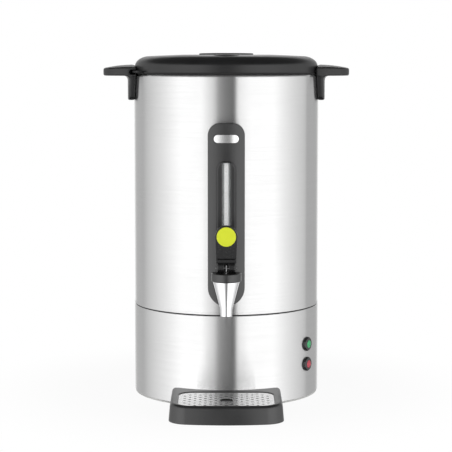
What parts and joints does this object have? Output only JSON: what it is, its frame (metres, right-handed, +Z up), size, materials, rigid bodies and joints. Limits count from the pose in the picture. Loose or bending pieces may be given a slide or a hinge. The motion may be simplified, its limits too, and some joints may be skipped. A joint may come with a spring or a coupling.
{
  "type": "coffee urn",
  "caption": "Upright steel percolator coffee urn with black twist-lock lid, side handles, front sight gauge, lever tap, push buttons and separate drip tray.",
  "frame": {"origin": "on the floor, in the middle of the foot ring, under the tank's axis", "axes": "+Z up along the tank's axis, -Y towards the tap and drip tray, +X towards the push buttons"},
  "size_m": [0.357, 0.3822, 0.4937],
  "materials": {
    "steel": "satin stainless sheet, polished along the axis",
    "fittings_steel": "plain stainless fasteners",
    "percolator_steel": "bright pressed stainless",
    "chrome": "bright plated",
    "black_plastic": "satin moulded, heat resistant",
    "grille": "bright stainless, perforated",
    "rubber": "matte black",
    "silicone": "translucent white, food grade",
    "brass": "nickel-free contact brass",
    "glass": "clear tube",
    "white_plastic": "white",
    "yellow_plastic": "bright yellow insert",
    "green_lens": "clear green lens",
    "red_lens": "clear red lens",
    "heater": "oxidised sheath",
    "device": "dark moulded body",
    "wire": "heat-proof insulation"
  },
  "bodies": {
    "urn": {"tank": "steel", "base_skirt": "steel", "foot_screws": "fittings_steel", "tie_studs": "fittings_steel", "tie_nuts": "fittings_steel", "inlet_screws": "fittings_steel", "wall_screws": "fittings_steel", "shank_nut": "fittings_steel", "tap_spring": "fittings_steel", "button_nuts": "fittings_steel", "spout": "chrome", "badge_plate": "chrome", "gauge_socket": "chrome", "tap_shank": "chrome", "left_handle": "black_plastic", "right_handle": "black_plastic", "front_column": "black_plastic", "tap_collar": "black_plastic", "green_bezel": "black_plastic", "red_bezel": "black_plastic", "inlet_socket": "black_plastic", "base_plate": "black_plastic", "foot_ring": "rubber", "seam_gasket": "rubber", "gauge_cap": "rubber", "wall_washers": "silicone", "shank_seals": "silicone", "gauge_seal": "silicone", "inlet_pins": "brass", "gauge_tube": "glass", "gauge_strip": "white_plastic", "terminal_block": "white_plastic", "boil_element": "heater", "warm_element": "heater", "thermostat": "device", "thermal_cutout": "device", "green_switch": "device", "red_switch": "device", "wiring": "wire"},
    "pump": {"pump_foot": "percolator_steel", "riser_tube": "percolator_steel"},
    "basket": {"basket_sleeve": "percolator_steel", "basket_floor": "percolator_steel", "basket_wall": "percolator_steel"},
    "spreader": {"spreader": "percolator_steel"},
    "lid_ring": {"lid_seal": "rubber"},
    "lid": {"lid": "black_plastic", "lid_knob": "black_plastic", "knob_screw": "fittings_steel"},
    "valve": {"tap_stem": "fittings_steel", "seat_plug": "silicone", "lever_pin": "fittings_steel"},
    "lever": {"tap_lever": "black_plastic", "lever_disc": "yellow_plastic"},
    "tray": {"drip_tray": "black_plastic"},
    "grille": {"drip_grille": "grille"},
    "green_button": {"green_cap": "green_lens"},
    "red_button": {"red_cap": "red_lens"}
  },
  "joints": [
    {"name": "pump_lift", "type": "slide", "parent": "urn", "child": "pump", "axis": [0, 0, 1], "range_m": [0, 0.36]},
    {"name": "basket_lift", "type": "slide", "parent": "pump", "child": "basket", "axis": [0, 0, 1], "range_m": [0, 0.13]},
    {"name": "spreader_lift", "type": "slide", "parent": "basket", "child": "spreader", "axis": [0, 0, 1], "range_m": [0, 0.04]},
    {"name": "lid_lift", "type": "slide", "parent": "spreader", "child": "lid_ring", "axis": [0, 0, 1], "range_m": [0, 0.08]},
    {"name": "lid_turn", "type": "hinge", "parent": "lid_ring", "child": "lid", "pos_m": [0, 0, 0.47], "axis": [0, 0, -1], "range_deg": [0, 23.3]},
    {"name": "lever_tilt", "type": "hinge", "parent": "valve", "child": "lever", "pos_m": [0, -0.186, 0.2031], "axis": [1, 0, 0], "range_deg": [0, 50], "stiffness_Nm_per_rad": 0.06, "springref_deg": -34.38},
    {"name": "stem_lift", "type": "slide", "parent": "urn", "child": "valve", "axis": [0, 0, 1], "range_m": [0, 0.0043], "deforming": ["tap_spring"]},
    {"name": "tray_slide", "type": "slide", "parent": "urn", "child": "tray", "axis": [0, -1, 0], "range_m": [0, 0.12]},
    {"name": "grille_lift", "type": "slide", "parent": "tray", "child": "grille", "axis": [0, 0, 1], "range_m": [0, 0.06]},
    {"name": "green_press", "type": "slide", "parent": "urn", "child": "green_button", "axis": [-0.8572, 0.515, 0], "range_m": [0, 0.0022], "stiffness_N_per_m": 600},
    {"name": "red_press", "type": "slide", "parent": "urn", "child": "red_button", "axis": [-0.8572, 0.515, 0], "range_m": [0, 0.0022], "stiffness_N_per_m": 600}
  ],
  "couplings": [
    {"joint": "stem_lift", "follows": "lever_tilt", "m_per_rad": 0.0048429}
  ]
}
